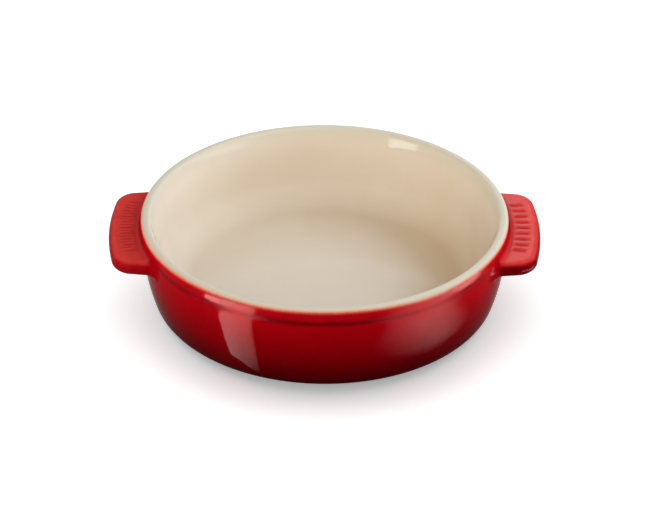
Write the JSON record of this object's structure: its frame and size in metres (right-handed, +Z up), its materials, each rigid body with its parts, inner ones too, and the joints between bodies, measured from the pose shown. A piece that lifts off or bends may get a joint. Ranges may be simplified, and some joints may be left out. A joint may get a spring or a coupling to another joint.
{
  "type": "tapas dish",
  "caption": "Round stoneware tapas dish with straight sides, a rounded rim and a flat lug handle at each end, glazed cream inside and red outside, on a bare foot ring.",
  "frame": {"origin": "on the table, under the middle of the dish", "axes": "+Z up through the middle of the dish, +X along the line through both handles, +Y across it"},
  "size_m": [0.1644, 0.14, 0.0394],
  "materials": {
    "bare_stoneware": "matt, unglazed fired clay",
    "cream_glaze": "gloss",
    "red_glaze": "gloss",
    "underside_glaze": "gloss"
  },
  "bodies": {
    "root": {"stoneware_body": "bare_stoneware", "interior_glaze": "cream_glaze", "exterior_glaze": "red_glaze", "underside_glaze": "underside_glaze"}
  },
  "joints": []
}
